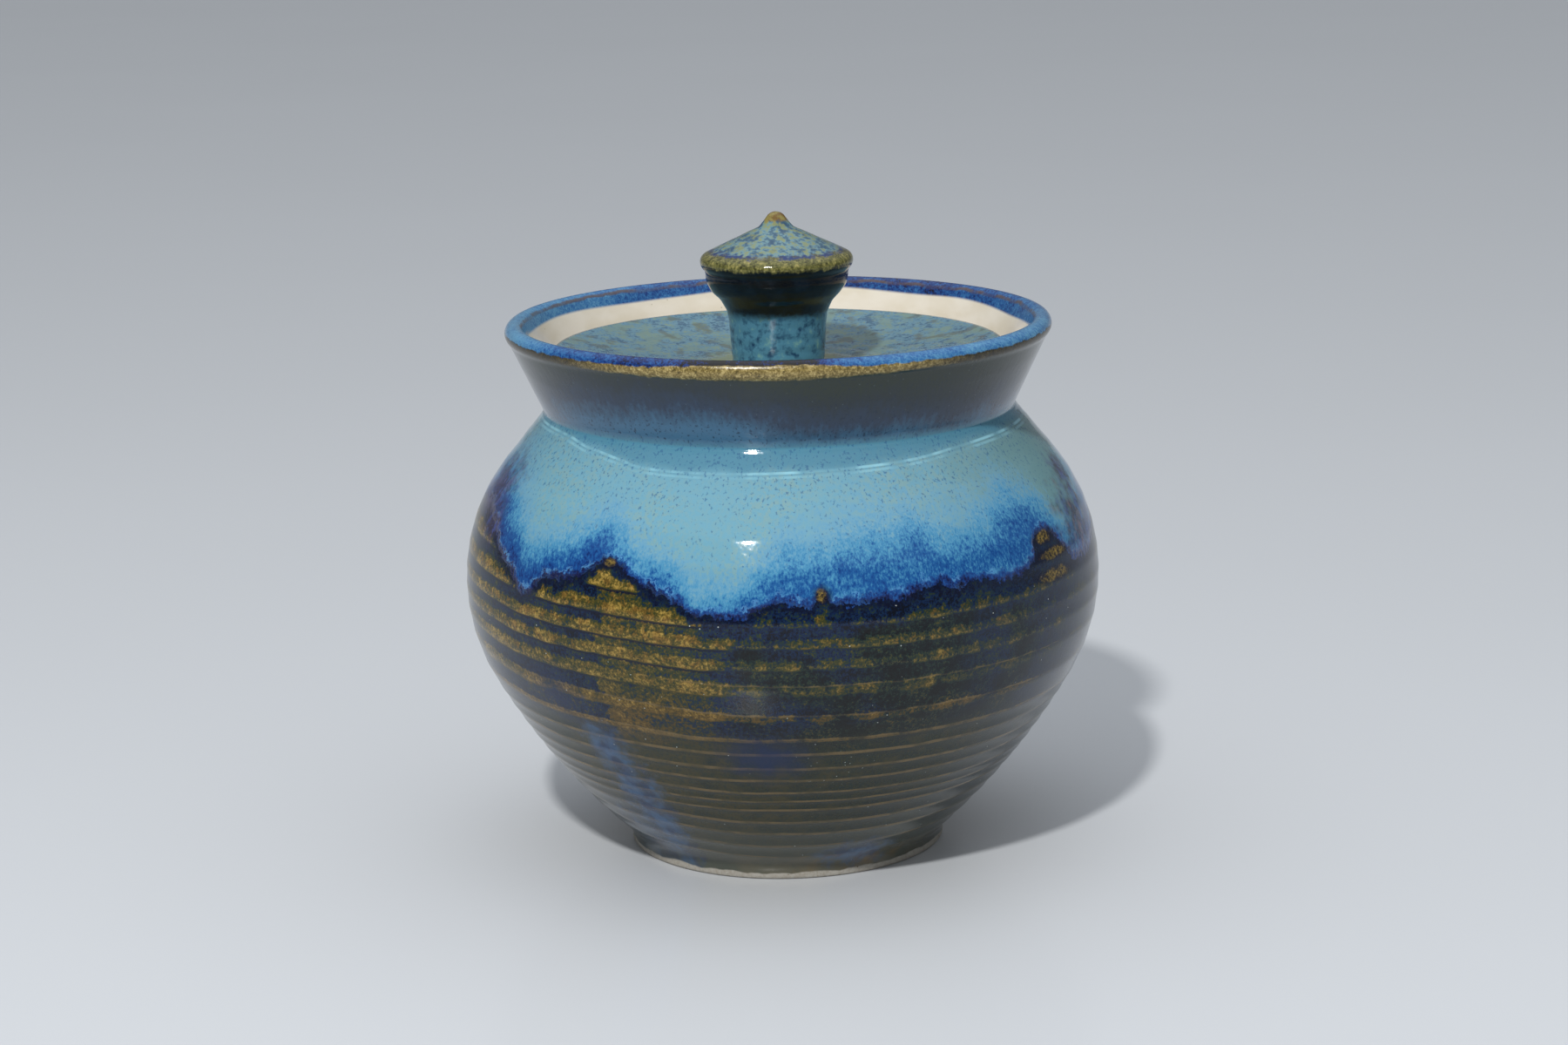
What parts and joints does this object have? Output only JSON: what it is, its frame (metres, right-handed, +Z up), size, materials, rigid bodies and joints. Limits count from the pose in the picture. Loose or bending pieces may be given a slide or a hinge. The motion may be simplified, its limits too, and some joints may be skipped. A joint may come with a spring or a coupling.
{
  "type": "stoneware bean pot",
  "caption": "Round-bellied glazed stoneware bean pot with a flared collar, a turned foot and a dished lift-off lid that sits inside the collar and has a pointed flared knob.",
  "frame": {"origin": "middle of the foot's underside, on the axis the pot was thrown on", "axes": "+Z up along the axis of the pot, the lid and the knob; the pot is round, so +X and +Y are free"},
  "size_m": [0.18, 0.18, 0.1805],
  "materials": {
    "pot_glaze": "gloss, running blue glaze over olive brown",
    "lid_glaze": "gloss, mottled teal blue",
    "knob_glaze": "gloss, mottled teal with an olive rim"
  },
  "bodies": {
    "pot": {"pot_body": "pot_glaze"},
    "lid": {"lid_plate": "lid_glaze", "lid_knob": "knob_glaze"}
  },
  "joints": [
    {"name": "lid_lift", "type": "slide", "parent": "pot", "child": "lid", "axis": [0, 0, 1], "range_m": [0, 0.05]}
  ]
}
